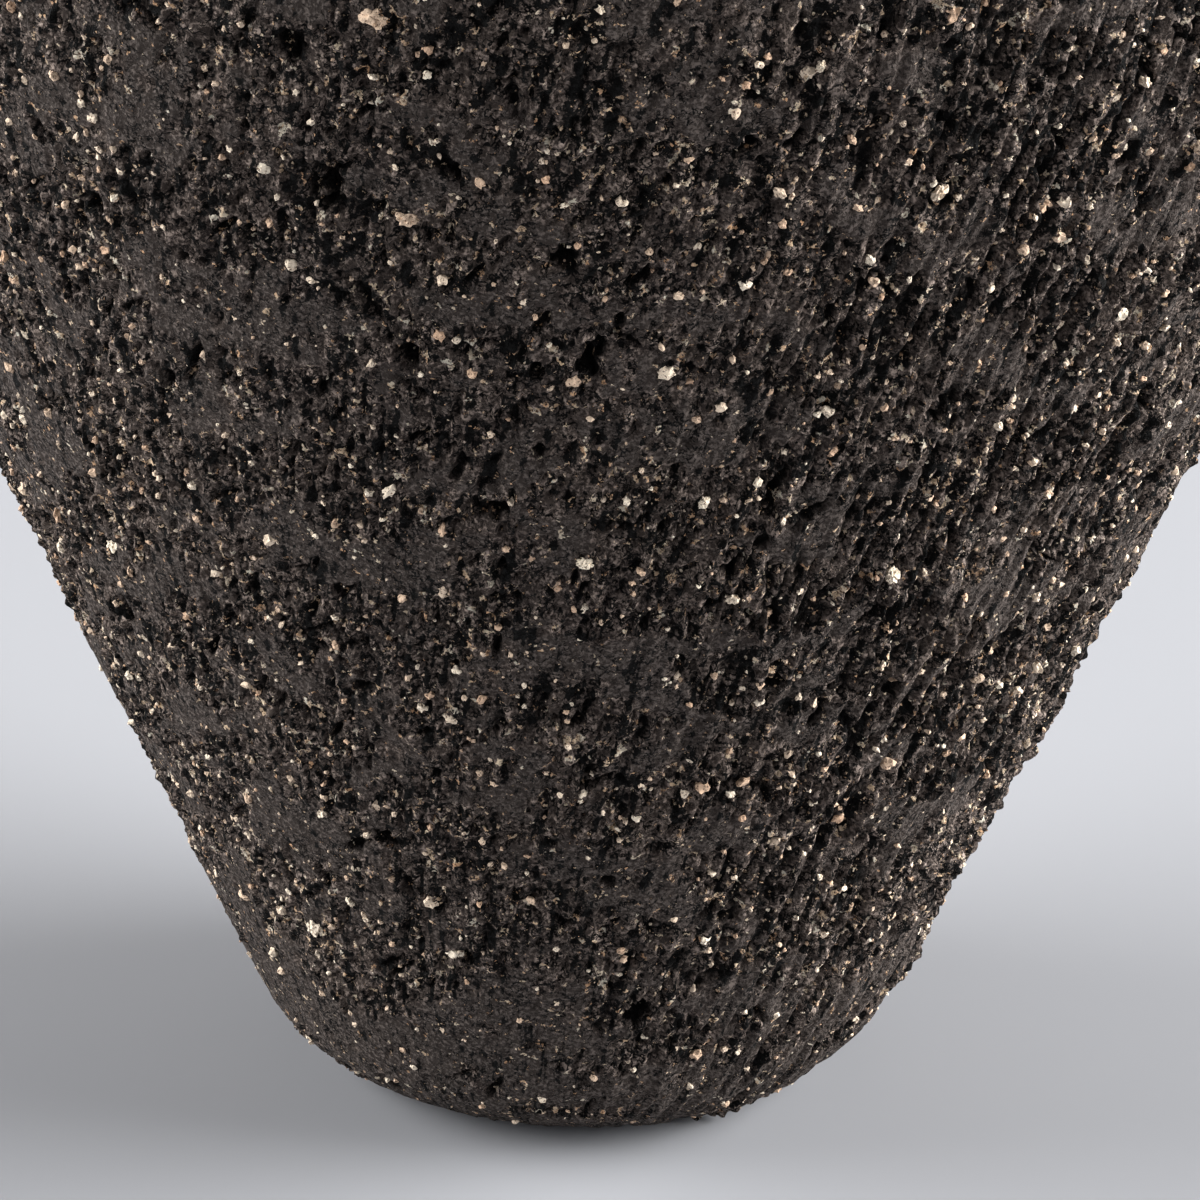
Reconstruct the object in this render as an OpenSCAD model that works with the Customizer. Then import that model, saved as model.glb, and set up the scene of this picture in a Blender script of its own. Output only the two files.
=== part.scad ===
// Ovoid stoneware vase with a narrow foot and a small neck, coil built from coarse grogged clay.
// Every coil is one solid, luted to the next on a scarf joint that slopes down to the inside.
// Origin: centre of the foot, on the surface that the vase stands on. +Z is the vase's axis.

/* [Foot] */
// Radius of the flat that the vase stands on
foot_r = 17; // [14:1:22]
// Radius of the rounded corner between the flat and the wall
corner_r = 14.5; // [12:0.5:17]

/* [Wall] */
// Thickness of the fired floor and wall
wall_t = 7.6; // [6:0.2:9]
// Lean of the wall just above the corner, out from the vertical, in degrees
wall_lean = 24.2; // [20:0.2:27]
// Length of the nearly straight lower wall, along its slope
lower_wall_len = 98; // [80:1:110]
// Radius of the slow curve along the lower wall
lower_curve_r = 3300; // [2500:100:5000]
// Radius of the belly's curve from foot to lip
belly_curve_r = 112; // [100:1:130]

/* [Shoulder and neck] */
// Radius of the shoulder's curve from foot to lip
shoulder_curve_r = 63; // [60:0.5:66]
// How far the shoulder turns over before the neck begins, in degrees
shoulder_turn = 71; // [69:0.5:73]
// Radius of the hollow curve from the shoulder up into the neck
neck_curve_r = 12; // [11.5:0.5:13]
// Radius of the hollow curve of the flare, from the neck out to the lip
flare_curve_r = 30; // [25:1:40]
// How far the flare turns outwards, in degrees
flare_turn = 24; // [16:1:28]

/* [Coils] */
// Number of coils in the lower wall
lower_coils = 6; // [5:1:7]
// Number of coils in the belly
belly_coils = 3; // [2:1:4]
// Number of coils in the shoulder
shoulder_coils = 5; // [4:1:6]
// How far each joint slopes down towards the inside, so that a coil laps the one below
scarf_drop = 2.4; // [1:0.2:3]

/* [Glaze] */
// Thickness of the glaze that makes the inside watertight
glaze_t = 0.4; // [0.3:0.1:0.6]
// Bare clay left inside the lip, above the glaze
glaze_margin = 5; // [3:0.5:8]

/* [Hidden] */
$fn = 96;
// Spacing of the outline's points along a curve
outline_step = 2.6;
lip_steps = 8;

clay_colours = ["#3b3531", "#463f3a"];
glaze_colour = "#1f2023";

// The outside, from the edge of the flat to the lip, is a chain of arcs with shared tangents.
// An arc is [centre r, centre z, radius, first angle, last angle, side]. Angles are those of
// the surface's outward normal, up from level. side is 1 where the arc's centre is inside
// the vase, and -1 on the hollow curves of the neck, whose centres are outside.
corner = [foot_r, corner_r, corner_r, -90, -wall_lean, 1];
lower_wall = arc_after(corner, lower_curve_r, lower_wall_len / lower_curve_r * 180 / PI - wall_lean, 1);
belly = arc_after(lower_wall, belly_curve_r, 0, 1);
shoulder = arc_after(belly, shoulder_curve_r, shoulder_turn, 1);
neck_curve = arc_after(shoulder, neck_curve_r, 0, -1);
flare = arc_after(neck_curve, flare_curve_r, -flare_turn, -1);
arcs = [corner, lower_wall, belly, shoulder, neck_curve, flare];

// The point of an arc with a given normal, a given depth below the outside.
function arc_point(arc, angle, depth) =
    let (r = arc[5] * arc[2] - depth)
    [arc[0] + r * cos(angle), arc[1] + r * sin(angle)];

// The arc that carries on smoothly from the end of another one.
function arc_after(from, r, last_angle, side) =
    let (end = arc_point(from, from[4], 0))
    [end[0] - side * r * cos(from[4]), end[1] - side * r * sin(from[4]), r, from[4], last_angle, side];

function arc_len(arc) = arc[2] * abs(arc[4] - arc[3]) * PI / 180;

// How far along the outside each arc begins, and where the last one ends.
function starts(i = 0, s = 0) =
    i == len(arcs) ? [s] : concat([s], starts(i + 1, s + arc_len(arcs[i])));
arc_starts = starts();
wall_end = arc_starts[len(arcs)];

function arc_at(s, i = 0) = i == len(arcs) - 1 || s < arc_starts[i + 1] ? i : arc_at(s, i + 1);

// The point a distance s along the outside from the edge of the flat, and depth below it.
// A negative s is on the flat itself.
function wall_point(s, depth) =
    s < 0 ? [foot_r + s, depth] :
    let (i = arc_at(s), arc = arcs[i], part = (s - arc_starts[i]) / arc_len(arc))
    arc_point(arc, arc[3] + part * (arc[4] - arc[3]), depth);

// Where the coils meet on the outside: even lengths of coil within each stretch of the wall.
function even_steps(first, last, count) = [for (k = [1 : count]) first + (last - first) * k / count];
joints = concat(
    [0, arc_starts[1]],
    even_steps(arc_starts[1], arc_starts[2], lower_coils),
    even_steps(arc_starts[2], arc_starts[3], belly_coils),
    even_steps(arc_starts[3], arc_starts[4], shoulder_coils),
    [arc_starts[5], wall_end]
);
wall_coils = lower_coils + belly_coils + shoulder_coils;

// The distances of one coil's outline points along the outside, from its lower joint to its upper.
function stations(coil) =
    let (first = joints[coil], last = joints[coil + 1], count = ceil((last - first) / outline_step))
    [for (k = [0 : count]) first + (last - first) * k / count];

function inner_chain(coil, depth) = [for (s = stations(coil)) wall_point(s - scarf_drop, depth)];
function reversed(list) = [for (k = [len(list) - 1 : -1 : 0]) list[k]];

function coil_outline(coil) = concat(
    [for (s = stations(coil)) wall_point(s, 0)],
    reversed(inner_chain(coil, wall_t))
);

// The lip is a half round from the outside over to the inside.
function lip_points() =
    let (middle = wall_point(wall_end, wall_t / 2), lean = flare[4])
    [for (k = [1 : lip_steps - 1])
        let (a = lean + 180 * k / lip_steps)
        middle + wall_t / 2 * [cos(a), sin(a)]];

function rim_outline(coil) = concat(
    [for (s = stations(coil)) wall_point(s, 0)],
    lip_points(),
    [wall_point(wall_end, wall_t)],
    reversed(inner_chain(coil, wall_t))
);

// The glaze follows the inside from the middle of the floor to just below the lip.
liner_stations = concat(
    [for (coil = [0 : wall_coils + 1], s = stations(coil)) if (s < joints[coil + 1]) s - scarf_drop],
    [for (s = stations(wall_coils + 2)) if (s - scarf_drop < wall_end - glaze_margin) s - scarf_drop]
);

function liner_outline() = concat(
    [[0, wall_t]],
    [for (s = liner_stations) wall_point(s, wall_t)],
    reversed([for (s = liner_stations) wall_point(s, wall_t + glaze_t)]),
    [[0, wall_t + glaze_t]]
);

function coil_name(k) = str("wall_coil_", k < 10 ? "0" : "", k);

module turned(outline, colour) {
    color(colour) rotate_extrude() polygon(outline);
}

// Pressed slab that closes the bottom; its edge slopes under the foot coil.
module base_disc() {
    turned([[0, 0], [foot_r, 0], wall_point(-scarf_drop, wall_t), [0, wall_t]], clay_colours[1]);
}

// Coil pressed round the slab's edge and rounded over into the wall.
module foot_coil() {
    turned(coil_outline(0), clay_colours[0]);
}

module wall_coil(k) {
    turned(coil_outline(k), clay_colours[k % 2]);
}

// Hollow-curved coil that turns the shoulder up into the neck.
module neck_coil() {
    turned(coil_outline(wall_coils + 1), clay_colours[1]);
}

// Last coil, flared out and finished with a rounded lip.
module rim_coil() {
    turned(rim_outline(wall_coils + 2), clay_colours[0]);
}

module liner_glaze() {
    turned(liner_outline(), glaze_colour);
}

base_disc();
foot_coil();
for (k = [1 : wall_coils]) {
    wall_coil(k);
}
neck_coil();
rim_coil();
liner_glaze();
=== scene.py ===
"""Looks of the coil-built stoneware vase: torn grogged clay, grog grains and liner glaze.

Lengths are in millimetres until a mesh is made. A place on the surface is given by its
turn round the axis (0 at +X, 0.25 at +Y) and by its distance s along the outline, which
starts at the edge of the flat foot and runs up the outside, over the lip and down inside.
"""

import math

import bmesh
import bpy
import numpy as np
from mathutils import Matrix, Vector


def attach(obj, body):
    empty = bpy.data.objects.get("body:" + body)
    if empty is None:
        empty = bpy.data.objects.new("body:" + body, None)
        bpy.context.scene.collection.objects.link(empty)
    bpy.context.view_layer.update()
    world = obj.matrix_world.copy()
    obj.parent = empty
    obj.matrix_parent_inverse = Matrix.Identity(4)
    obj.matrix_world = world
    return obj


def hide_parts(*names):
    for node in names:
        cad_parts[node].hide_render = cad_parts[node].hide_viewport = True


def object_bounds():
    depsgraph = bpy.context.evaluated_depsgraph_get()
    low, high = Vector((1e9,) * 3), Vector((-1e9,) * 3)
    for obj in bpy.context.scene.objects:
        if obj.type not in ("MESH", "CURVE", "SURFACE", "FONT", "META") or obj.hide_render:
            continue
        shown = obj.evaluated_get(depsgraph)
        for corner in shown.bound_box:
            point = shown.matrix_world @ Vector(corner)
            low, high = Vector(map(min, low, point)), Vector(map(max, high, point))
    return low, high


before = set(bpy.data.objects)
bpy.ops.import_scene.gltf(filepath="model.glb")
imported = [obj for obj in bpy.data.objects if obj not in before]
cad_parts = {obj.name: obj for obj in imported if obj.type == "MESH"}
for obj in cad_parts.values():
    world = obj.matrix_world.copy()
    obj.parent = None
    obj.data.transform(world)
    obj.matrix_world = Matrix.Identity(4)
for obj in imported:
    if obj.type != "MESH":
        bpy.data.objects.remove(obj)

CAD_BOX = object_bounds()
MM = 0.001
SEED = 4107
COARSER = 1

# ---------------------------------------------------------------- outline, as in the CAD

FOOT_R = 17.0
CORNER_R = 14.5
WALL_T = 7.6
WALL_LEAN = 24.2
LOWER_WALL_LEN = 98.0
LOWER_CURVE_R = 3300.0
BELLY_CURVE_R = 112.0
SHOULDER_CURVE_R = 63.0
SHOULDER_TURN = 71.0
NECK_CURVE_R = 12.0
FLARE_CURVE_R = 30.0
FLARE_TURN = 24.0
LOWER_COILS = 6
BELLY_COILS = 3
SHOULDER_COILS = 5
SCARF_DROP = 2.4
GLAZE_MARGIN = 5.0
WALL_COILS = LOWER_COILS + BELLY_COILS + SHOULDER_COILS


class Arc:
    """A stretch of the outline. Angles are the outward normal's, in degrees up from level.

    The side is 1 where the outline bulges outwards and -1 where it is hollow.
    """

    def __init__(self, centre, radius, first, last, side=1):
        self.centre = centre
        self.radius = radius
        self.first = first
        self.last = last
        self.side = side

    def point(self, angle, depth=0.0):
        reach = self.side * self.radius - depth
        a = np.radians(angle)
        return self.centre[0] + reach * np.cos(a), self.centre[1] + reach * np.sin(a)

    def length(self):
        return self.radius * math.radians(abs(self.last - self.first))

    def then(self, radius, last, side=1):
        """The arc that carries on smoothly from this one's end."""
        r, z = self.point(self.last)
        a = math.radians(self.last)
        centre = (r - side * radius * math.cos(a), z - side * radius * math.sin(a))
        return Arc(centre, radius, self.last, last, side)


def outline():
    """The outside's arcs, then the lip's half round and the inside of the flare."""
    corner = Arc((FOOT_R, CORNER_R), CORNER_R, -90.0, -WALL_LEAN)
    lower_turn = math.degrees(LOWER_WALL_LEN / LOWER_CURVE_R)
    lower_wall = corner.then(LOWER_CURVE_R, lower_turn - WALL_LEAN)
    belly = lower_wall.then(BELLY_CURVE_R, 0.0)
    shoulder = belly.then(SHOULDER_CURVE_R, SHOULDER_TURN)
    neck = shoulder.then(NECK_CURVE_R, 0.0, -1)
    flare = neck.then(FLARE_CURVE_R, -FLARE_TURN, -1)
    lip = Arc(flare.point(-FLARE_TURN, WALL_T / 2), WALL_T / 2, -FLARE_TURN, 180.0 - FLARE_TURN)
    flare_inside = Arc(flare.centre, FLARE_CURVE_R + WALL_T, 180.0 - FLARE_TURN, 180.0)
    return [corner, lower_wall, belly, shoulder, neck, flare, lip, flare_inside]


ARCS = outline()
STARTS = np.concatenate([[0.0], np.cumsum([arc.length() for arc in ARCS])])
WALL_END = STARTS[6]
LIP_END = STARTS[7]
INSIDE_END = STARTS[8]


def surface(s, depth=0.0):
    """Radius, height and normal angle (radians) of the outline at each s, at a depth below it.

    Below s = 0 lies the flat foot.
    """
    s = np.asarray(s, float)
    r = FOOT_R + s
    z = np.full_like(s, depth)
    angle = np.full_like(s, -90.0)
    for arc, start, end in zip(ARCS, STARTS[:-1], STARTS[1:]):
        here = (s >= start) & (s <= end)
        part = (s[here] - start) / (end - start)
        angle[here] = arc.first + part * (arc.last - arc.first)
        r[here], z[here] = arc.point(angle[here], depth)
    return r, z, np.radians(angle)


def even_steps(first, last, count):
    return [first + (last - first) * k / count for k in range(1, count + 1)]


# Where the coils meet on the outside. Coil 0 is the foot coil and the last is the rim.
JOINTS = [0.0, STARTS[1]]
JOINTS += even_steps(STARTS[1], STARTS[2], LOWER_COILS)
JOINTS += even_steps(STARTS[2], STARTS[3], BELLY_COILS)
JOINTS += even_steps(STARTS[3], STARTS[4], SHOULDER_COILS)
JOINTS += [STARTS[5], WALL_END]
COIL_NAMES = ["foot_coil"]
COIL_NAMES += [f"wall_coil_{k:02d}" for k in range(1, WALL_COILS + 1)]
COIL_NAMES += ["neck_coil", "rim_coil"]

# ---------------------------------------------------------------- noise on the surface

S_LOW = -FOOT_R - 2.0
S_HIGH = INSIDE_END + 2.0
NOISE_GAIN = 1.6


def lattice_noise(turns, v, cells, v_low, v_high, seed):
    """Gradient noise that repeats after cells cells in turns; v is in cells along the wall."""
    first = math.floor(v_low) - 1
    rows = math.ceil(v_high) - first + 3
    angles = np.random.default_rng(seed).random((rows, cells)).astype(np.float32) * (2 * np.pi)
    gx = np.cos(angles)
    gy = np.sin(angles)
    x = turns * cells
    ix = np.floor(x)
    fx = (x - ix).astype(np.float32)
    i0 = ix.astype(np.int64) % cells
    i1 = (i0 + 1) % cells
    iy = np.floor(v)
    fy = (v - iy).astype(np.float32)
    j0 = iy.astype(np.int64) - first

    def corner(i, j, dx, dy):
        return gx[j, i] * dx + gy[j, i] * dy

    ux = fx * fx * fx * (fx * (fx * 6 - 15) + 10)
    uy = fy * fy * fy * (fy * (fy * 6 - 15) + 10)
    low = corner(i0, j0, fx, fy) * (1 - ux) + corner(i1, j0, fx - 1, fy) * ux
    high = corner(i0, j0 + 1, fx, fy - 1) * (1 - ux) + corner(i1, j0 + 1, fx - 1, fy - 1) * ux
    return (low * (1 - uy) + high * uy) * NOISE_GAIN


class Patch:
    """A grid of places on the surface: rows along s, columns round the axis."""

    def __init__(self, s, columns):
        self.s = s
        self.r, self.z, self.angle = surface(s)
        self.turns = np.arange(columns) / columns

    def noise(self, cell, stretch, slant, seed):
        """Noise with cells about cell mm wide and stretch times as long, leaning by slant degrees."""
        out = np.empty((len(self.s), len(self.turns)), np.float32)
        shift = np.interp(self.s, *HELIX) * math.tan(math.radians(slant))
        octave = np.log2(np.maximum(2 * np.pi * np.maximum(self.r, 1.5) / cell, 4.0))
        length = cell * stretch
        for k in range(int(octave.min()), int(octave.max()) + 1):
            rows = np.floor(octave).astype(int) == k
            if not rows.any():
                continue
            turns = self.turns[None, :] - shift[rows, None]
            v = np.repeat(self.s[rows, None] / length, len(self.turns), axis=1)
            part = (octave[rows] - k)[:, None]
            part = part * part * (3 - 2 * part)
            ends = (S_LOW / length, S_HIGH / length)
            coarse = lattice_noise(turns, v, 2**k, *ends, [SEED, seed, k])
            fine = lattice_noise(turns, v, 2 ** (k + 1), *ends, [SEED, seed, k + 1])
            mixed = coarse * (1 - part) + fine * part
            out[rows] = mixed / np.sqrt(part**2 + (1 - part) ** 2)
        return out


def helix_table():
    """Turns made by a line at 45 degrees to the meridians, on its way up to each s."""
    s = np.linspace(S_LOW, S_HIGH, 2000)
    round_the_vase = 2 * np.pi * np.maximum(surface(s)[0], 6.0)
    return s, np.cumsum(1 / round_the_vase) * (s[1] - s[0])


HELIX = helix_table()


def ramp(low, high, x):
    """0 below low, 1 above high, smooth between."""
    t = np.clip((x - low) / (high - low), 0, 1)
    return t * t * (3 - 2 * t)


# ---------------------------------------------------------------- marks in the clay

# Drag marks lean by DRAG_SLANT degrees from the meridians. In the material their width holds
# at DRAG_R from the axis.
DRAG_SLANT = 9.0
DRAG_R = 50.0


def area_table():
    """Cumulative area of the surface along s, for scattering marks evenly."""
    s = np.linspace(1.0, LIP_END + 4, 4000)
    r = surface(s)[0]
    area = np.cumsum(2 * np.pi * r) * (s[1] - s[0])
    return s, area


def scatter(per_mm2, seed):
    """Random places on the surface, as turns and s, with their count."""
    s_axis, area = area_table()
    rng = np.random.default_rng([SEED, seed])
    count = int(per_mm2 * area[-1])
    s = np.interp(rng.random(count) * area[-1], area, s_axis)
    return rng.random(count), s, rng


# Kinds of mark: count per mm2, range of half width, range of length to width, spread of lean
# in degrees and range of depth. The first three are pits and the last two are drag grooves.
MARK_KINDS = [
    (0.16, (0.16, 0.32), (1.2, 3.5), 30.0, (0.25, 0.55)),
    (0.03, (0.25, 0.5), (1.5, 3.5), 35.0, (0.5, 1.0)),
    (0.003, (0.5, 1.0), (0.9, 2.0), 30.0, (0.9, 1.6)),
    (0.03, (0.22, 0.4), (3.0, 8.0), 8.0, (0.2, 0.5)),
    (0.0015, (0.4, 0.65), (2.0, 4.0), 14.0, (0.6, 1.0)),
]

# How far in the relief is pressed, so that its ridges reach the outline and not past it.
RELIEF_DROP = 0.35

# Listed holes and grooves: turn, s, half width, half length, lean in degrees, depth.
CHOSEN_MARKS = [
    (0.79, 87.5, 0.75, 2.3, 14.0, 1.5),
    (0.79, 82.5, 0.8, 1.6, 20.0, 1.1),
    (0.705, 116.5, 0.8, 2.1, 14.0, 1.8),
    (0.715, 100.5, 1.1, 0.9, 0.0, 1.7),
    (0.74, 100.0, 0.6, 0.8, 0.0, 1.5),
    (0.75, 101.5, 0.8, 1.9, 14.0, 1.6),
    (0.755, 105.0, 0.5, 1.0, 10.0, 1.1),
    (0.74, 92.0, 0.55, 0.6, 0.0, 1.2),
    (0.8, 66.5, 1.2, 0.8, 0.0, 1.5),
    (0.815, 62.0, 0.6, 1.6, 20.0, 1.3),
    (0.655, 111.0, 0.7, 1.6, 14.0, 1.3),
    (0.76, 43.5, 0.6, 0.7, 0.0, 1.3),
    (0.71, 32.5, 0.7, 0.6, 0.0, 1.3),
    (0.805, 23.5, 0.9, 0.5, 0.0, 1.0),
    (0.73, 76.0, 1.4, 0.35, 0.0, 0.9),
    (0.69, 64.0, 0.9, 0.6, 0.0, 1.1),
]


def make_marks():
    """Pits and drag grooves: rows of turn, s, half width, half length, lean and depth."""
    groups = []
    for kind, (per_mm2, width, longer, spread, depth) in enumerate(MARK_KINDS):
        turn, s, rng = scatter(per_mm2, kind)
        n = len(turn)
        half = rng.uniform(*width, n)
        lean = np.radians(np.clip(rng.normal(DRAG_SLANT, spread, n), -60, 60))
        long = half * rng.uniform(*longer, n)
        groups.append(np.stack([turn, s, half, long, lean, rng.uniform(*depth, n)], 1))
    chosen = np.array(CHOSEN_MARKS)
    chosen[:, 4] = np.radians(chosen[:, 4])
    return np.concatenate(groups + [chosen])


def press_marks(patch, height, marks, torn, ragged):
    """Presses every mark into the height grid, deepest where the clay is torn, with ragged edges."""
    columns = len(patch.turns)
    last_row = len(patch.s) - 1
    for turn, s, half, long, lean, deep in marks:
        reach = max(half, long) * 1.3
        i0, i1 = np.searchsorted(patch.s, (s - reach, s + reach))
        if i1 <= i0:
            continue
        around = 2 * np.pi * max(float(np.interp(s, patch.s, patch.r)), 4.0)
        slope = math.tan(lean)
        span = half * 1.3 + reach * abs(slope)
        wide = min(int(span / around * columns) + 1, columns // 2 - 1)
        middle = int(round(turn * columns))
        cols = np.arange(middle - wide, middle + wide + 1)
        wrapped = cols % columns
        along = (patch.s[i0:i1] - s)[:, None]
        across = ((cols / columns - turn) * around)[None, :] - along * slope
        block = np.ix_(np.arange(i0, i1), wrapped)
        d = np.sqrt((across / half) ** 2 + (along / long) ** 2) + ragged[block] * 0.5
        # Shallow marks fade where the clay is smeared. Deep ones keep their depth.
        faded = 0.2 + 0.8 * torn[min((i0 + i1) // 2, last_row), middle % columns]
        keep = 1.0 if deep > 1.0 else faded
        height[block] -= deep * keep * (1 - ramp(0.5, 1.1, d))


def torn_share(patch, side, lip):
    """How torn the clay is, from 0 where it is smeared flat to 1 where it is all crumbs."""
    patches = patch.noise(11.0, 0.75, 0, 11)
    patches += 0.75 * patch.noise(4.5, 0.8, 20, 12)
    patches += 0.5 * patch.noise(2.0, 1.0, 10, 13)
    foot = 1 - ramp(14.0, 34.0, patch.s[:, None])
    torn = ramp(-0.5, 0.12, patches + 0.2 * side - 0.85 * foot)
    return torn * (1 - 0.7 * lip)


def finger_marks(patch):
    """The wall's broad unevenness: level bands left by the fingers, and a slow wobble."""
    bands = 0.16 * patch.noise(60.0, 0.17, 0, 21) + 0.1 * patch.noise(45.0, 0.1, 0, 22)
    wobble = 0.3 * patch.noise(42.0, 0.8, 0, 23) + 0.12 * patch.noise(14.0, 0.9, 0, 24)
    return bands + wobble


def torn_clay(patch, side, comb, combed):
    """Rounded lumps of two sizes, with ridges and grooves where a tool was dragged."""
    lumps = np.abs(patch.noise(1.7, 1.3, DRAG_SLANT, 31)) * 0.55
    crumbs = np.abs(patch.noise(0.85, 1.3, DRAG_SLANT, 32)) * 0.55
    groove = np.exp(-((patch.noise(1.5, 7.0, DRAG_SLANT, 33) / 0.15) ** 2))
    swell = patch.noise(3.0, 5.0, DRAG_SLANT, 34)
    pull = 0.2 + 0.8 * side
    ridges = (0.35 * swell - 0.4 * groove) * pull + 0.85 * comb * combed
    return lumps + crumbs + ridges - 0.3


def relief(patch, marks):
    """Height of the clay above the outline, how torn it is, and how deep a place lies, which sets the
    painted shade in the pits.
    """
    s = patch.s[:, None]
    wall = ramp(2.0, 20.0, s)
    lip = ramp(WALL_END - 6.0, WALL_END + 1.0, s)
    side = 0.5 + 0.5 * np.cos(patch.turns[None, :] * 2 * np.pi)
    torn = torn_share(patch, side, lip)

    # The +X side was combed: close parallel ridges run over torn and smeared clay alike.
    comb = patch.noise(1.0, 9.0, DRAG_SLANT, 36)
    combed = ramp(0.4, 0.8, side)
    rough = torn_clay(patch, side, comb, combed)
    smeared = 0.08 * patch.noise(1.2, 2.5, DRAG_SLANT, 35) + 0.12 * np.minimum(rough, 0.1)
    smeared = smeared + 0.4 * comb * combed
    height = smeared * (1 - torn) + (rough - 0.05) * torn

    ragged = patch.noise(0.9, 1.0, 0, 41) + 0.6 * patch.noise(2.0, 1.0, 0, 42)
    press_marks(patch, height, marks, torn, ragged)
    # How deep a place lies below the relief: the clay is painted darker there, as painted shade in
    # the pits.
    pit_shade = np.clip((-0.05 - height) / 0.9, 0, 1)
    height = height + (finger_marks(patch) - RELIEF_DROP) * (0.35 + 0.65 * wall) * (1 - 0.5 * lip)
    return height.astype(np.float32), torn.astype(np.float32), pit_shade.astype(np.float32)


# ---------------------------------------------------------------- meshes

# Each zone is one grid: its first and last coil, its columns and its row spacing.
ZONES = [
    (0, 2, 768 // COARSER, 0.27 * COARSER),
    (3, 8, 1536 // COARSER, 0.28 * COARSER),
    (9, 13, 1536 // COARSER, 0.4 * COARSER),
    (14, 16, 768 // COARSER, 0.33 * COARSER),
]


def to_metres(r, z, turns):
    """Points of a grid of radii and heights, in metres, row by row."""
    a = turns * 2 * np.pi
    x = r * np.cos(a)
    y = r * np.sin(a)
    return np.stack([x, y, z], -1).reshape(-1, 3) * MM


def rings(r, z, columns):
    """Points of plain level rings, in metres, ring by ring."""
    radii = np.repeat(r[:, None], columns, 1)
    heights = np.repeat(z[:, None], columns, 1)
    return to_metres(radii, heights, np.arange(columns)[None, :] / columns)


def inside_box(points):
    """Points kept inside the CAD's box: nothing stands proud of it or sinks into the floor."""
    return np.clip(points, CAD_BOX[0], CAD_BOX[1])


def grid_faces(rows, columns):
    """Quads of a closed band of rows."""
    i, j = np.meshgrid(np.arange(rows - 1), np.arange(columns), indexing="ij")
    a = i * columns + j
    b = i * columns + (j + 1) % columns
    return np.stack([a, b, b + columns, a + columns], -1).reshape(-1, 4)


def make_mesh(name, points, faces, attributes=None, normals=None, smooth=True):
    """A new object from points in metres and faces that all have the same number of corners."""
    mesh = bpy.data.meshes.new(name)
    corners = faces.shape[1]
    mesh.vertices.add(len(points))
    mesh.vertices.foreach_set("co", np.ascontiguousarray(points, np.float32).ravel())
    mesh.loops.add(faces.size)
    mesh.loops.foreach_set("vertex_index", np.ascontiguousarray(faces, np.int32).ravel())
    mesh.polygons.add(len(faces))
    mesh.polygons.foreach_set("loop_start", np.arange(0, faces.size, corners, dtype=np.int32))
    mesh.polygons.foreach_set("use_smooth", np.full(len(faces), smooth))
    mesh.update(calc_edges=True)
    for key, values in (attributes or {}).items():
        layer = mesh.attributes.new(key, "FLOAT", "POINT")
        layer.data.foreach_set("value", np.ascontiguousarray(values, np.float32).ravel())
    mesh.validate()
    if normals is not None:
        mesh.normals_split_custom_set_from_vertices(normals)
    obj = bpy.data.objects.new(name, mesh)
    bpy.context.scene.collection.objects.link(obj)
    return obj


def grid_normals(points, rows, columns):
    """Normals of a closed band's points, from its neighbours in both directions."""
    p = points.reshape(rows, columns, 3)
    level = np.roll(p, -1, 1) - np.roll(p, 1, 1)
    up = np.gradient(p, axis=0)
    n = np.cross(level, up)
    n /= np.maximum(np.linalg.norm(n, axis=2, keepdims=True), 1e-12)
    return n.reshape(-1, 3)


def zone_rows(first, last, step):
    """The s of every row of a zone, and the row where each coil starts and ends."""
    ends = list(JOINTS[first : last + 2])
    if last == len(COIL_NAMES) - 1:
        ends[-1] = LIP_END + GLAZE_MARGIN + 3.0
    rows = [ends[0]]
    splits = [0]
    for low, high in zip(ends[:-1], ends[1:]):
        count = max(2, round((high - low) / step))
        rows += even_steps(low, high, count)
        splits.append(len(rows) - 1)
    return np.array(rows), splits


def match_every_other(height, row):
    """Makes a fine edge row's odd points lie midway between its even ones, as on a coarser zone."""
    even = height[row, 0::2]
    height[row, 1::2] = (even + np.roll(even, -1)) / 2


def make_zone(first, last, columns, step, marks, coarser_below, coarser_above):
    """Makes the coils of one zone; returns its patch, heights and torn share."""
    s, splits = zone_rows(first, last, step)
    patch = Patch(s, columns)
    height, torn, pit_shade = relief(patch, marks)
    if coarser_below:
        match_every_other(height, 0)
    if coarser_above:
        match_every_other(height, -1)
    r = patch.r[:, None] + height * np.cos(patch.angle)[:, None]
    z = patch.z[:, None] + height * np.sin(patch.angle)[:, None]
    points = inside_box(to_metres(r, z, patch.turns[None, :]))
    normals = grid_normals(points, len(s), columns)
    for k, coil in enumerate(range(first, last + 1)):
        rows = slice(splits[k] * columns, (splits[k + 1] + 1) * columns)
        height_rows = slice(splits[k], splits[k + 1] + 1)
        attributes = (torn[height_rows], pit_shade[height_rows])
        make_coil(coil, points[rows], normals[rows], attributes, columns)
    return patch, height, torn


def inner_rows(coil):
    """The inside rows of a coil, from its upper joint down to its lower one."""
    low = JOINTS[coil] - SCARF_DROP
    high = JOINTS[coil + 1] - SCARF_DROP
    s = np.linspace(high, low, 4)
    if coil == len(COIL_NAMES) - 1:
        s = np.linspace(WALL_END - GLAZE_MARGIN - 4.5, low, 3)
    return surface(s, WALL_T)[:2]


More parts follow.
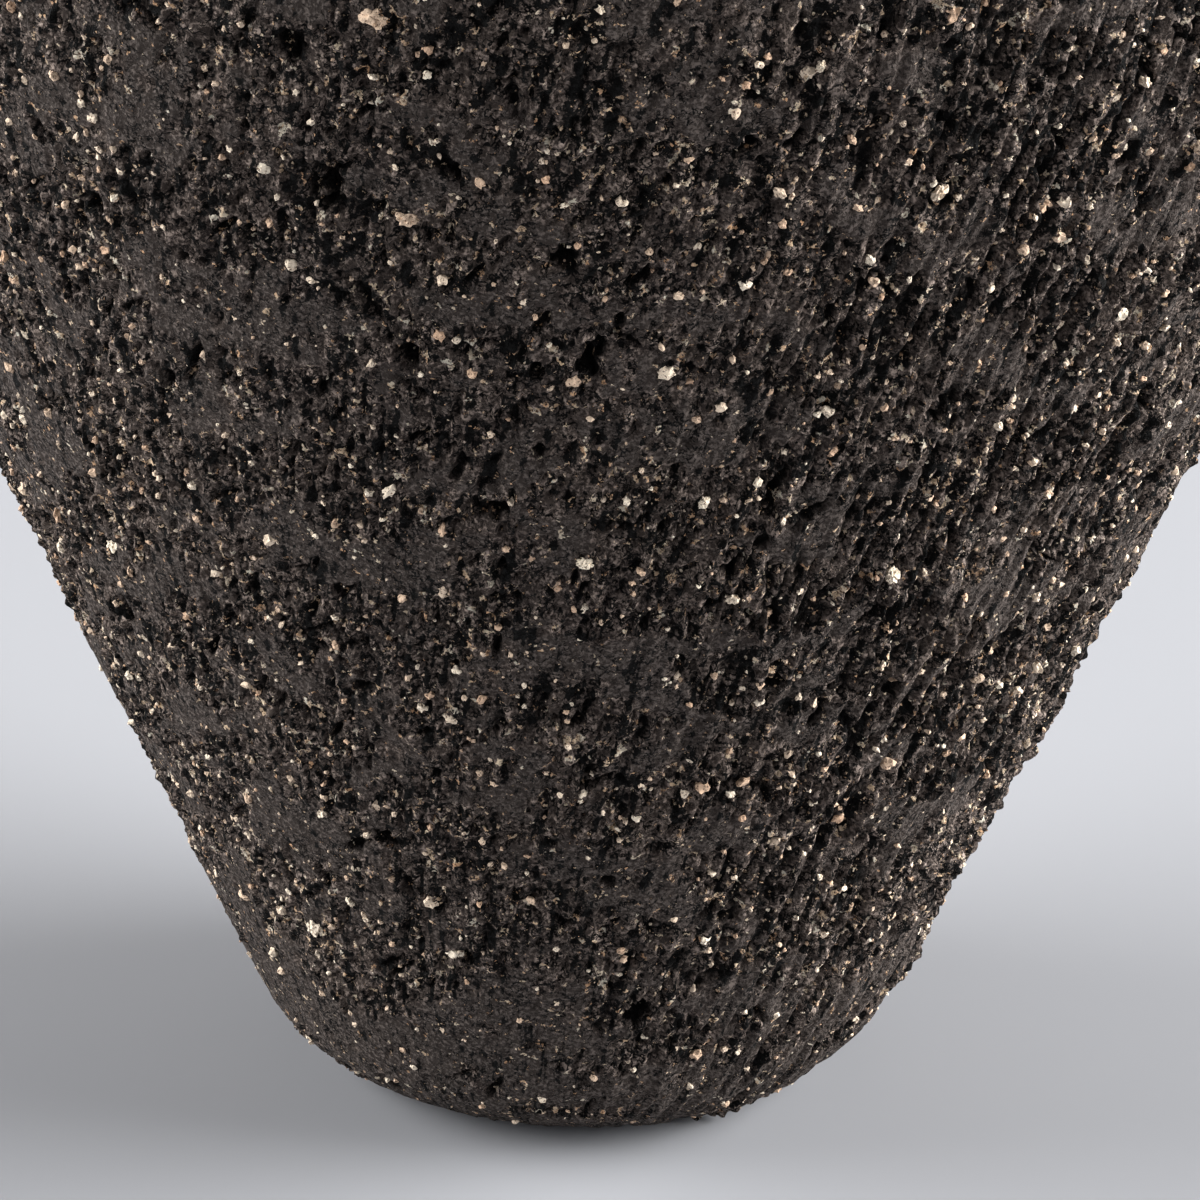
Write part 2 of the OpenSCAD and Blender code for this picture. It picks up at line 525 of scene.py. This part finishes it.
def make_coil(coil, points, normals, attributes, columns):
    """One coil as a closed mesh: its torn outside, its joints and a plain inside."""
    name = COIL_NAMES[coil]
    r, z = inner_rows(coil)
    inside = rings(r, z, columns)
    every = np.concatenate([points, inside])
    rows = len(every) // columns
    quads = grid_faces(rows, columns)
    closing = grid_faces(2, columns)
    last = (rows - 1) * columns
    closing = np.where(closing < columns, closing + last, closing - columns)
    quads = np.concatenate([quads, closing])
    spare = np.zeros(len(inside), np.float32)
    torn, pit_shade = (np.concatenate([a.ravel(), spare]) for a in attributes)
    all_normals = np.concatenate([normals, np.zeros_like(inside)])
    obj = make_mesh(f"clay_{name}", every, quads, {"torn": torn, "pit_shade": pit_shade}, all_normals)
    obj.data.materials.append(MATERIALS["clay"])
    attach(obj, "root")
    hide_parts(name)


# ---------------------------------------------------------------- grog grains

# Kinds of grain: count per mm2, radius, and how many times the icosahedron is divided.
GRAIN_KINDS = [
    (0.07, (0.16, 0.3), 0),
    (0.075, (0.28, 0.48), 1),
    (0.012, (0.48, 0.76), 1),
    (0.0006, (0.74, 1.1), 2),
]
# Listed large grains: turn, s, radius and tint (0 tan, 1 cream).
CHOSEN_GRAINS = [
    (0.715, 131.5, 1.2, 0.35),
    (0.75, 80.5, 0.75, 1.0),
    (0.785, 76.0, 0.8, 0.8),
    (0.81, 116.5, 0.7, 0.7),
    (0.615, 72.0, 0.8, 1.0),
    (0.86, 32.5, 0.75, 0.7),
    (0.825, 77.0, 0.7, 0.9),
    (0.84, 123.5, 0.65, 0.8),
    (0.795, 116.5, 0.65, 1.0),
    (0.785, 128.5, 0.5, 0.9),
    (0.775, 87.0, 0.55, 1.0),
    (0.75, 133.0, 0.45, 0.8),
    (0.685, 125.5, 0.5, 0.6),
    (0.745, 116.0, 0.4, 1.0),
    (0.665, 36.5, 0.5, 1.0),
]
CHOSEN_DIVISIONS = 2
# The grains are joined into one piece for each stretch: its name, first coil and last coil.
GROG_PIECES = [("grog_lower", 0, 5), ("grog_belly", 6, 11), ("grog_upper", 12, 16)]


def grain_form(divisions):
    """Unit points and triangles of an icosphere."""
    form = bmesh.new()
    bmesh.ops.create_icosphere(form, subdivisions=divisions + 1, radius=1.0)
    points = np.array([v.co for v in form.verts])
    triangles = np.array([[v.index for v in face.verts] for face in form.faces])
    form.free()
    return points, triangles


def random_turns(rng, n):
    """n random rotation matrices."""
    q = rng.normal(size=(n, 4))
    w, x, y, z = (q / np.linalg.norm(q, axis=1, keepdims=True)).T
    rows = [
        [1 - 2 * (y * y + z * z), 2 * (x * y - z * w), 2 * (x * z + y * w)],
        [2 * (x * y + z * w), 1 - 2 * (x * x + z * z), 2 * (y * z - x * w)],
        [2 * (x * z - y * w), 2 * (y * z + x * w), 1 - 2 * (x * x + y * y)],
    ]
    return np.array(rows).transpose(2, 0, 1)


def scattered_grains():
    """Every kind of grain as turns, s, radii, tints, divisions and a chance of being hidden."""
    for kind, (per_mm2, size, divisions) in enumerate(GRAIN_KINDS):
        turn, s, rng = scatter(per_mm2, 50 + kind)
        n = len(turn)
        yield turn, s, rng.uniform(*size, n), rng.random(n), divisions, rng.random(n)
    turn, s, radius, tint = np.array(CHOSEN_GRAINS).T
    yield turn, s, radius, tint, CHOSEN_DIVISIONS, np.zeros(len(turn))


def grains(zones):
    """Points, triangles, tints and s of every grain, bedded in the clay's relief."""
    found = []
    rng = np.random.default_rng([SEED, 60])
    for turn, s, radius, tint, divisions, chance in scattered_grains():
        form, triangles = grain_form(divisions)
        for patch, height, torn in zones:
            inside = (s >= patch.s[0]) & (s < patch.s[-1]) & (s > 2.0)
            row = np.clip(np.searchsorted(patch.s, s), 0, len(patch.s) - 1)
            col = np.round(turn * len(patch.turns)).astype(int) % len(patch.turns)
            bare = torn[row, col]
            # Smeared clay covers some of the grains.
            kept = inside & (chance < 0.3 + 0.7 * bare)
            n = kept.sum()
            r, z, angle = surface(s[kept])
            above = height[row, col][kept] - radius[kept] * rng.uniform(-0.1, 0.45, n)
            centre = to_metres(r + above * np.cos(angle), z + above * np.sin(angle), turn[kept])
            chunk = form[None] * rng.uniform(0.6, 1.2, (n, len(form), 1))
            chunk = chunk * rng.uniform(0.5, 1.1, (n, 1, 3))
            chunk = np.einsum("nij,nkj->nki", random_turns(rng, n), chunk)
            points = inside_box(centre[:, None] + chunk * radius[kept, None, None] * MM)
            found.append((points, triangles, tint[kept], s[kept]))
    return found


def make_grog(zones):
    """Joins the grains into one piece for each stretch of the wall."""
    every = grains(zones)
    for name, first, last in GROG_PIECES:
        low = JOINTS[first]
        high = JOINTS[last + 1] if last + 1 < len(JOINTS) - 1 else INSIDE_END
        points = []
        faces = []
        tints = []
        count = 0
        for bedded, triangles, tint, s in every:
            here = (s >= low) & (s < high)
            n = int(here.sum())
            per = bedded.shape[1]
            points.append(bedded[here].reshape(-1, 3))
            steps = count + per * np.arange(n)[:, None, None]
            faces.append((triangles[None] + steps).reshape(-1, 3))
            tints.append(np.repeat(tint[here], per))
            count += n * per
        tints = {"tint": np.concatenate(tints)}
        grog = make_mesh(name, np.concatenate(points), np.concatenate(faces), tints, smooth=False)
        grog.data.materials.append(MATERIALS["grog"])
        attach(grog, "root")


# ---------------------------------------------------------------- materials


def new_material(name):
    material = bpy.data.materials.new(name)
    material.use_nodes = True
    tree = material.node_tree
    tree.nodes.clear()
    output = tree.nodes.new("ShaderNodeOutputMaterial")
    shader = tree.nodes.new("ShaderNodeBsdfPrincipled")
    tree.links.new(shader.outputs["BSDF"], output.inputs["Surface"])
    return material, tree, shader


class Tree:
    """Short ways to add and join shader nodes."""

    def __init__(self, tree):
        self.nodes = tree.nodes
        self.links = tree.links
        self.where = self.nodes.new("ShaderNodeTexCoord").outputs["Object"]

    def add(self, kind, **settings):
        node = self.nodes.new(kind)
        for key, value in settings.items():
            setattr(node, key, value)
        return node

    def plug(self, socket, value):
        if isinstance(value, bpy.types.NodeSocket):
            self.links.new(value, socket)
        else:
            socket.default_value = value

    def noise(self, size_mm, detail, roughness=0.55, where=None):
        """Noise with features about size_mm across; returns its value."""
        node = self.add("ShaderNodeTexNoise")
        self.plug(node.inputs["Vector"], where or self.where)
        node.inputs["Scale"].default_value = 1 / (size_mm * MM)
        node.inputs["Detail"].default_value = detail
        node.inputs["Roughness"].default_value = roughness
        return node.outputs["Fac"]

    def cell_values(self, size_mm):
        """A random number for each cell of a texture of cells size_mm across."""
        cells = self.add("ShaderNodeTexVoronoi")
        self.plug(cells.inputs["Vector"], self.where)
        cells.inputs["Scale"].default_value = 1 / (size_mm * MM)
        node = self.add("ShaderNodeSeparateColor")
        self.plug(node.inputs["Color"], cells.outputs["Color"])
        return node.outputs["Red"]

    def drag_lines(self, width_mm, length):
        """Noise drawn out along the wall: streaks width_mm wide at DRAG_R from the axis."""
        split = self.add("ShaderNodeSeparateXYZ")
        self.plug(split.inputs[0], self.where)
        x, y, z = split.outputs
        level = self.add("ShaderNodeCombineXYZ")
        self.plug(level.inputs["X"], x)
        self.plug(level.inputs["Y"], y)
        ring = self.add("ShaderNodeVectorMath", operation="NORMALIZE")
        self.plug(ring.inputs[0], level.outputs[0])
        sized = self.add("ShaderNodeVectorMath", operation="SCALE")
        self.plug(sized.inputs[0], ring.outputs[0])
        sized.inputs["Scale"].default_value = DRAG_R * MM
        lean = -math.tan(math.radians(DRAG_SLANT)) / (DRAG_R * MM)
        twist = self.add("ShaderNodeVectorRotate", rotation_type="Z_AXIS")
        self.plug(twist.inputs["Vector"], sized.outputs[0])
        self.plug(twist.inputs["Angle"], self.math("MULTIPLY", z, lean))
        up = self.add("ShaderNodeCombineXYZ")
        self.plug(up.inputs["Z"], self.math("DIVIDE", z, length))
        where = self.add("ShaderNodeVectorMath", operation="ADD")
        self.plug(where.inputs[0], twist.outputs[0])
        self.plug(where.inputs[1], up.outputs[0])
        return self.noise(width_mm, 2.0, 0.6, where.outputs[0])

    def attribute(self, name):
        return self.add("ShaderNodeAttribute", attribute_name=name).outputs["Fac"]

    def math(self, operation, a, b=0.0):
        node = self.add("ShaderNodeMath", operation=operation)
        self.plug(node.inputs[0], a)
        self.plug(node.inputs[1], b)
        return node.outputs[0]

    def ramp(self, value, low, high, out_low=0.0, out_high=1.0):
        node = self.add("ShaderNodeMapRange", interpolation_type="SMOOTHSTEP")
        self.plug(node.inputs["Value"], value)
        self.plug(node.inputs["From Min"], low)
        self.plug(node.inputs["From Max"], high)
        self.plug(node.inputs["To Min"], out_low)
        self.plug(node.inputs["To Max"], out_high)
        return node.outputs["Result"]

    def mix(self, factor, a, b):
        node = self.add("ShaderNodeMix", data_type="RGBA")
        self.plug(node.inputs["Factor"], factor)
        self.plug(node.inputs["A"], a)
        self.plug(node.inputs["B"], b)
        return node.outputs["Result"]

    def bump(self, height, distance_mm, strength=1.0):
        node = self.add("ShaderNodeBump")
        self.plug(node.inputs["Height"], height)
        node.inputs["Strength"].default_value = strength
        node.inputs["Distance"].default_value = distance_mm * MM
        return node.outputs["Normal"]


def rgb(red, green, blue):
    """A colour given as screen values from 0 to 255, made linear."""

    def linear(v):
        v /= 255
        return v / 12.92 if v < 0.04045 else ((v + 0.055) / 1.055) ** 2.4

    return (linear(red), linear(green), linear(blue), 1.0)


# Kinds of fleck: size of the noise, its thresholds where flecks are rare and where they are
# common, and the dull and bright end of their colours.
FLECK_KINDS = [
    (0.8, 0.655, 0.6, (232, 184, 142), (255, 236, 206)),
    (1.6, 0.67, 0.62, (246, 212, 174), (255, 246, 226)),
]


def clay_tone(t, torn, grit_and_shading):
    """The clay's colour: light and dark grit, with less contrast where it is smeared. It is partly
    the grit's own colour and partly painted light: the raised grains are painted lighter on their
    tops, and the torn clay is painted lighter to make up for the shade its relief casts.
    """
    clouds = t.ramp(t.noise(14.0, 2.0), 0.35, 0.65)
    mottle = t.ramp(t.noise(1.6, 3.0, 0.6), 0.38, 0.62)
    dark = t.mix(clouds, rgb(52, 45, 42), rgb(64, 56, 51))
    light = t.mix(mottle, rgb(106, 94, 87), rgb(166, 149, 138))
    smeared = t.mix(grit_and_shading, rgb(58, 51, 47), rgb(106, 96, 90))
    return t.mix(t.ramp(torn, 0.1, 0.7), smeared, t.mix(grit_and_shading, dark, light))


def solid_clay(t, torn):
    """1 on the clay and 0 in the small gaps and cracks between its crumbs, which are painted near
    black as painted shade.
    """
    streaks = t.math("SUBTRACT", t.drag_lines(0.8, 6.0), 0.5)
    crumbs = t.math("ADD", t.noise(1.05, 4.0, 0.7), t.math("MULTIPLY", streaks, 0.8))
    gap_edge = t.ramp(torn, 0.0, 1.0, 0.355, 0.42)
    solid = t.ramp(crumbs, gap_edge, t.math("ADD", gap_edge, 0.035))

    # Cracks follow the lines where a noise crosses its middle value. They come and go.
    web = t.math("ABSOLUTE", t.math("SUBTRACT", t.noise(1.5, 3.0, 0.65), 0.5))
    width = t.ramp(t.noise(2.4, 2.0), 0.38, 0.6, 0.0, 0.036)
    width = t.math("MULTIPLY", width, t.ramp(torn, 0.0, 1.0, 0.45, 1.0))
    unbroken = t.ramp(web, t.math("MULTIPLY", width, 0.6), t.math("ADD", width, 0.008))
    return t.math("MULTIPLY", solid, unbroken)


def clay_material():
    material, tree, shader = new_material("grogged_clay")
    t = Tree(tree)
    torn = t.attribute("torn")
    grit = t.noise(0.34, 3.0, 0.7)
    # The grit noise sets both the bump and the colour, so the raised grains are painted lighter:
    # partly real grit, partly painted light.
    grit_and_shading = t.ramp(grit, 0.4, 0.62)
    solid = solid_clay(t, torn)
    # Pits are painted near black by their depth: painted shade, standing in for the shadow that falls
    # in them.
    deep = t.ramp(t.attribute("pit_shade"), 0.1, 0.8, 0.0, 0.95)
    # The gaps and cracks are painted near black: painted shade, as the bump can't cast shadows into
    # them.
    colour = t.mix(solid, rgb(8, 7, 6), clay_tone(t, torn, grit_and_shading))
    colour = t.mix(deep, colour, rgb(6, 5, 5))
    height = t.math("ADD", t.math("MULTIPLY", solid, 1.5), t.math("MULTIPLY", grit_and_shading, 0.9))

    # Flecks of grog have ragged outlines, and are thickest where the clay is torn.
    clumps = t.ramp(t.noise(3.6, 2.0), 0.4, 0.62)
    plenty = t.math("MULTIPLY", t.ramp(torn, 0.0, 1.0, 0.4, 1.0), clumps)
    tint = t.cell_values(0.9)
    # Flecks are dulled to brown where the grit noise, and so the bump, is low.
    low_fleck_dulling = t.ramp(grit, 0.47, 0.4)
    for size, rare, common, dull, bright in FLECK_KINDS:
        edge = t.ramp(plenty, 0.0, 1.0, rare, common)
        fleck = t.ramp(t.noise(size, 3.0, 0.65), edge, t.math("ADD", edge, 0.015))
        paint = t.mix(low_fleck_dulling, t.mix(tint, rgb(*dull), rgb(*bright)), rgb(92, 70, 54))
        colour = t.mix(fleck, colour, paint)
        height = t.math("ADD", height, t.math("MULTIPLY", fleck, 0.8))
    t.plug(shader.inputs["Base Color"], colour)
    t.plug(shader.inputs["Roughness"], t.ramp(grit_and_shading, 0.0, 1.0, 0.85, 0.55))
    shader.inputs["Specular IOR Level"].default_value = 0.12
    t.plug(shader.inputs["Normal"], t.bump(height, 0.2))
    return material


def glaze_material():
    material, tree, shader = new_material("liner_glaze")
    t = Tree(tree)
    pool = t.noise(9.0, 3.0)
    colour = t.mix(t.ramp(pool, 0.35, 0.7), rgb(34, 33, 35), rgb(52, 46, 42))
    t.plug(shader.inputs["Base Color"], colour)
    t.plug(shader.inputs["Roughness"], t.ramp(pool, 0.3, 0.7, 0.12, 0.26))
    t.plug(shader.inputs["Normal"], t.bump(t.noise(2.5, 2.0), 0.08, 0.5))
    return material


def grog_material():
    material, tree, shader = new_material("grog")
    t = Tree(tree)
    grain = t.noise(0.2, 3.0, 0.7)
    base = t.mix(t.attribute("tint"), rgb(216, 178, 146), rgb(255, 240, 216))
    base = t.mix(t.ramp(grain, 0.54, 0.62), base, rgb(110, 84, 66))
    t.plug(shader.inputs["Base Color"], base)
    shader.inputs["Roughness"].default_value = 0.75
    t.plug(shader.inputs["Normal"], t.bump(grain, 0.08, 0.8))
    return material


def floor_material():
    material, tree, shader = new_material("pale_floor")
    shader.inputs["Base Color"].default_value = rgb(164, 165, 169)
    shader.inputs["Roughness"].default_value = 0.8
    shader.inputs["Specular IOR Level"].default_value = 0.1
    return material


# ---------------------------------------------------------------- camera, floor and lights

CAMERA_PITCH = math.radians(21.0)
CAMERA_DISTANCE = 0.4505
CAMERA_TARGET_Z = 0.0427
CAMERA_ROLL = math.radians(1.64)
CAMERA_YAW = math.radians(-0.2)
LENS_MM = 150.0
SENSOR_MM = 36.0


def make_camera():
    data = bpy.data.cameras.new("camera")
    data.lens = LENS_MM
    data.sensor_width = SENSOR_MM
    data.clip_start = 0.01
    data.clip_end = 50.0
    camera = bpy.data.objects.new("camera", data)
    bpy.context.scene.collection.objects.link(camera)
    downward = Vector((0, math.cos(CAMERA_PITCH), -math.sin(CAMERA_PITCH)))
    place = Vector((0, 0, CAMERA_TARGET_Z)) - CAMERA_DISTANCE * downward
    ahead = Matrix.Rotation(CAMERA_YAW, 3, "Z") @ downward
    right = ahead.cross(Vector((0, 0, 1))).normalized()
    up = right.cross(ahead)
    c = math.cos(CAMERA_ROLL)
    k = math.sin(CAMERA_ROLL)
    right, up = c * right + k * up, c * up - k * right
    turn = Matrix((right, up, -ahead)).transposed()
    camera.matrix_world = Matrix.Translation(place) @ turn.to_4x4()
    bpy.context.scene.camera = camera


def make_floor():
    """A floor that sweeps up into a wall all round, so that every view has a plain background."""
    flat = 2000.0
    sweep = 900.0
    top = 2600.0
    bend = np.radians(np.linspace(0, 90, 19))
    r = np.concatenate([[5.0, 300.0], flat + sweep * np.sin(bend), [flat + sweep]])
    z = np.concatenate([[0.0, 0.0], sweep * (1 - np.cos(bend)), [top]])
    columns = 96
    quads = grid_faces(len(r), columns)[:, ::-1]
    floor = make_mesh("floor", rings(r, z, columns), quads)
    floor.data.materials.append(MATERIALS["floor"])


# Softboxes: place, width and height, power in watts, and how wide the light spreads in degrees.
SOFTBOXES = {
    "left_box": ((-2.1, 0.07, 0.84), (1.9, 1.5), 46.0, 120.0),
    "right_box": ((2.1, 0.07, 0.84), (1.9, 1.5), 78.0, 120.0),
    "top_box": ((0, 0.9, 2.2), (1.8, 1.8), 13.0, 180.0),
}
LIGHT_TARGET = (0, 0, 0.06)


def make_softbox(name, place, size, power, spread):
    data = bpy.data.lights.new(name, "AREA")
    data.shape = "RECTANGLE"
    data.size = size[0]
    data.size_y = size[1]
    data.energy = power
    data.spread = math.radians(spread)
    light = bpy.data.objects.new(name, data)
    light.location = place
    light.rotation_euler = (Vector(LIGHT_TARGET) - Vector(place)).to_track_quat("-Z", "Y").to_euler()
    light.visible_camera = False
    bpy.context.scene.collection.objects.link(light)


def make_world():
    """A faint cool sky, true colours, and few light bounces, which the clay doesn't need."""
    world = bpy.data.worlds.new("world")
    world.use_nodes = True
    sky = world.node_tree.nodes["Background"]
    sky.inputs["Color"].default_value = (0.8, 0.83, 0.9, 1)
    sky.inputs["Strength"].default_value = 0.05
    scene = bpy.context.scene
    scene.world = world
    scene.view_settings.view_transform = "Standard"
    scene.cycles.diffuse_bounces = 2
    scene.cycles.glossy_bounces = 2


# ---------------------------------------------------------------- the vase

MATERIALS = {
    "clay": clay_material(),
    "glaze": glaze_material(),
    "grog": grog_material(),
    "floor": floor_material(),
}


def make_vase():
    """Makes every coil, and returns the zones for the grains to be bedded in."""
    marks = make_marks()
    zones = []
    for k, (first, last, columns, step) in enumerate(ZONES):
        below = k > 0 and ZONES[k - 1][2] < columns
        above = k + 1 < len(ZONES) and ZONES[k + 1][2] < columns
        zones.append(make_zone(first, last, columns, step, marks, below, above))
    return zones


make_camera()
make_floor()
for box, settings in SOFTBOXES.items():
    make_softbox(box, *settings)
make_world()
make_grog(make_vase())
for plain, finish in (("liner_glaze", "glaze"), ("base_disc", "clay")):
    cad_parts[plain].data.materials.clear()
    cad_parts[plain].data.materials.append(MATERIALS[finish])
